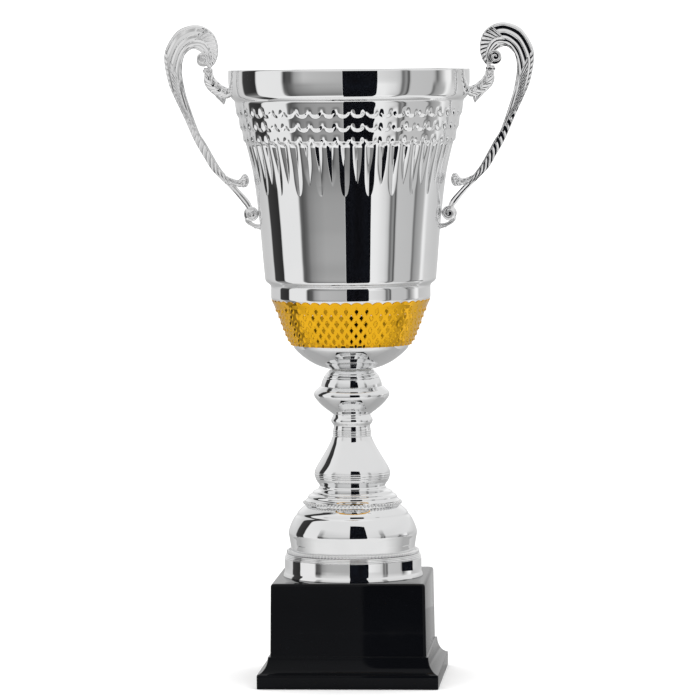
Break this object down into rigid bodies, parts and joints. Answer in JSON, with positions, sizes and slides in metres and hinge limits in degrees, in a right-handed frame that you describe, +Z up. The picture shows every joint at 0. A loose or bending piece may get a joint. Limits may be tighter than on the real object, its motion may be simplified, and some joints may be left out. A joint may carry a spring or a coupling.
{
  "type": "cup trophy",
  "caption": "Tall two-handled presentation cup with a scaled and fluted bowl, a gold studded band, a turned stem and a square plinth, held by one tie rod.",
  "frame": {"origin": "centre of the plinth's underside, on the surface that the trophy stands on", "axes": "+Z up along the axis of the cup and the tie rod; +X towards the right-hand handle; -Y is the front of the plinth"},
  "size_m": [0.3066, 0.2008, 0.5439],
  "materials": {
    "chrome": "mirror polished chrome plate",
    "handle_chrome": "bright chrome plate on a cast relief",
    "gold": "bright yellow gold plate",
    "plinth_black": "high gloss black",
    "steel": "zinc plated",
    "ballast_iron": "as cast",
    "gasket": "smooth",
    "hardboard": "matte",
    "felt": "felt"
  },
  "bodies": {
    "root": {"cup_bowl": "chrome", "gold_band": "gold", "handle_left": "handle_chrome", "handle_right": "handle_chrome", "handle_screws": "steel", "cup_nut": "steel", "cup_washer": "steel", "bowl_gasket": "gasket", "tie_rod": "steel", "knop": "chrome", "stem_collar": "chrome", "baluster": "chrome", "foot_collar": "chrome", "foot_dome": "chrome", "foot_skirt": "chrome", "plinth_shell": "plinth_black", "ballast_plate": "ballast_iron", "base_washer": "steel", "base_nut": "steel", "base_plate": "hardboard", "base_screws": "steel", "felt_pad": "felt"}
  },
  "joints": []
}
